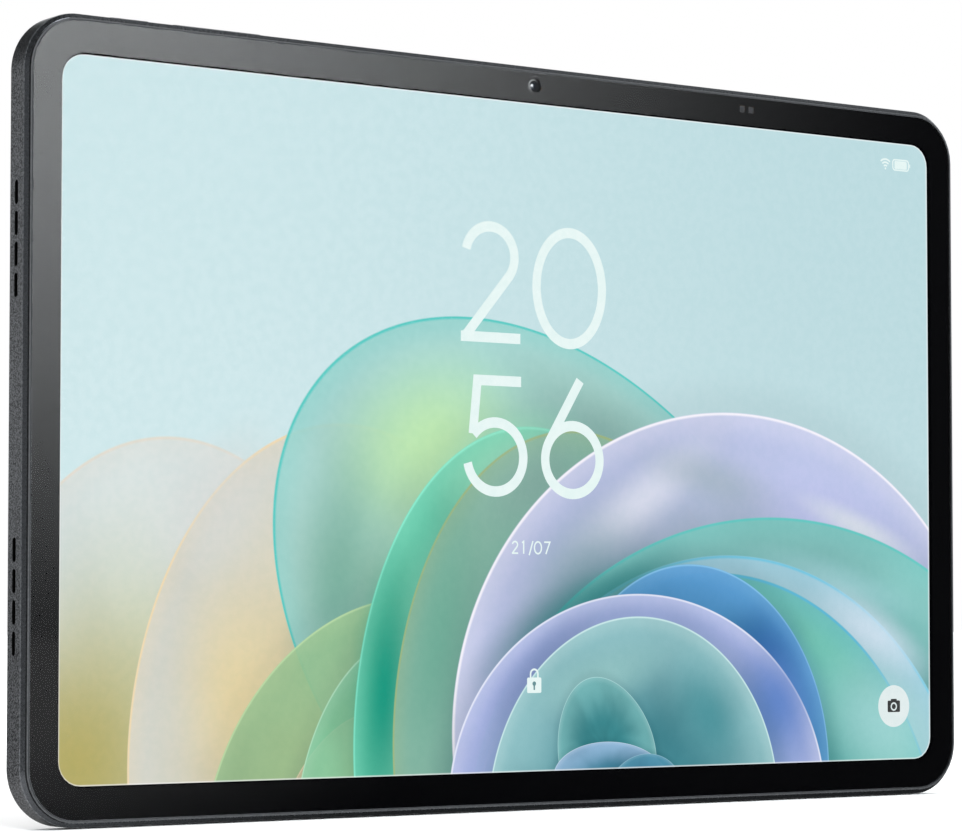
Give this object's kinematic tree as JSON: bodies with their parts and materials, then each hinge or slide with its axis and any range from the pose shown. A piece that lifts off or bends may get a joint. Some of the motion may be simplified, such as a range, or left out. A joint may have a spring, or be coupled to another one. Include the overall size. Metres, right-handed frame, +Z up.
{
  "type": "tablet computer",
  "caption": "Slim tablet computer with a wide glass-fronted screen in a dark metal shell, speaker slots at its short sides, edge keys, a card tray and a rear camera.",
  "frame": {"origin": "on the surface the tablet stands on, under the middle of its box", "axes": "+X to the right along the long side, -Y the way the screen faces, +Z up the short side"},
  "size_m": [0.2536, 0.0082, 0.165],
  "materials": {
    "body_metal": "sandblasted and anodised dark grey",
    "cover_glass": "polished, rounded at its edge",
    "mask_black": "black print under the glass",
    "trim_plastic": "fine satin black",
    "adhesive": "soft black bonding tape",
    "display": "lit picture behind clear glass",
    "film": "milky white",
    "clear_plastic": "clear",
    "sheet_steel": "thin rolled sheet",
    "flex_film": "amber film over copper",
    "circuit_board": "green solder mask",
    "battery_pouch": "dark laminated foil pouch",
    "graphite": "soft grey sheet",
    "chip_black": "moulded package",
    "lens_glass": "coated lens",
    "screw_steel": "blackened steel"
  },
  "bodies": {
    "tablet_body": {"rear_housing": "body_metal", "glass_surround": "trim_plastic", "cover_glass": "cover_glass", "border_print": "mask_black", "display_adhesive": "adhesive", "display_panel": "display", "diffuser_sheet": "film", "light_guide": "clear_plastic", "led_strip": "film", "display_tray": "sheet_steel", "display_flex": "flex_film", "mid_plate": "sheet_steel", "graphite_sheet": "graphite", "battery_cell_left": "battery_pouch", "battery_cell_right": "battery_pouch", "battery_board": "circuit_board", "main_board": "circuit_board", "board_screw_1": "screw_steel", "board_screw_2": "screw_steel", "board_screw_3": "screw_steel", "processor_chip": "chip_black", "processor_shield": "sheet_steel", "radio_shield": "sheet_steel", "wifi_antenna_left": "flex_film", "wifi_antenna_right": "flex_film", "antenna_cable": "trim_plastic", "microphone": "sheet_steel", "power_switch": "sheet_steel", "volume_up_switch": "sheet_steel", "volume_down_switch": "sheet_steel", "button_flex": "flex_film", "usb_c_shell": "sheet_steel", "usb_c_tongue": "trim_plastic", "usb_board": "circuit_board", "card_socket": "sheet_steel", "front_camera_module": "trim_plastic", "front_camera_ring": "trim_plastic", "front_camera_lens": "lens_glass", "light_sensor": "lens_glass", "proximity_sensor": "lens_glass", "sensor_flex": "flex_film", "rear_camera_trim": "body_metal", "rear_camera_window": "lens_glass", "rear_camera_module": "trim_plastic", "speaker_upper_left": "trim_plastic", "speaker_mesh_upper_left": "sheet_steel", "speaker_upper_right": "trim_plastic", "speaker_mesh_upper_right": "sheet_steel", "speaker_lower_left": "trim_plastic", "speaker_mesh_lower_left": "sheet_steel", "speaker_lower_right": "trim_plastic", "speaker_mesh_lower_right": "sheet_steel"},
    "power_button": {"power_button": "body_metal"},
    "volume_rocker": {"volume_rocker": "body_metal"},
    "card_tray": {"card_tray": "body_metal"},
    "eject_rod": {"eject_rod": "screw_steel"},
    "eject_lever": {"eject_lever": "screw_steel"},
    "lens_barrel": {"rear_camera_barrel": "trim_plastic", "rear_camera_lens": "lens_glass"}
  },
  "joints": [
    {"name": "power_button_press", "type": "slide", "parent": "tablet_body", "child": "power_button", "axis": [0, 0, -1], "range_m": [0, 0.00035], "stiffness_N_per_m": 3000},
    {"name": "volume_rocker_tilt", "type": "hinge", "parent": "tablet_body", "child": "volume_rocker", "pos_m": [-0.0807, -0.00055, 0.16335], "axis": [0, 1, 0], "range_deg": [-1.5, 1.5], "stiffness_Nm_per_rad": 0.5},
    {"name": "card_tray_slide", "type": "slide", "parent": "tablet_body", "child": "card_tray", "axis": [1, 0, 0], "range_m": [0, 0.0175]},
    {"name": "eject_rod_push", "type": "slide", "parent": "tablet_body", "child": "eject_rod", "axis": [-1, 0, 0], "range_m": [0, 0.0012]},
    {"name": "eject_lever_turn", "type": "hinge", "parent": "tablet_body", "child": "eject_lever", "pos_m": [0.1057, -0.00025, 0.06495], "axis": [0, 1, 0], "range_deg": [0, 17.7]},
    {"name": "lens_focus", "type": "slide", "parent": "tablet_body", "child": "lens_barrel", "axis": [0, 1, 0], "range_m": [0, 0.00025], "stiffness_N_per_m": 60}
  ],
  "couplings": [
    {"joint": "eject_lever_turn", "follows": "eject_rod_push", "rad_per_m": 256.41}
  ]
}
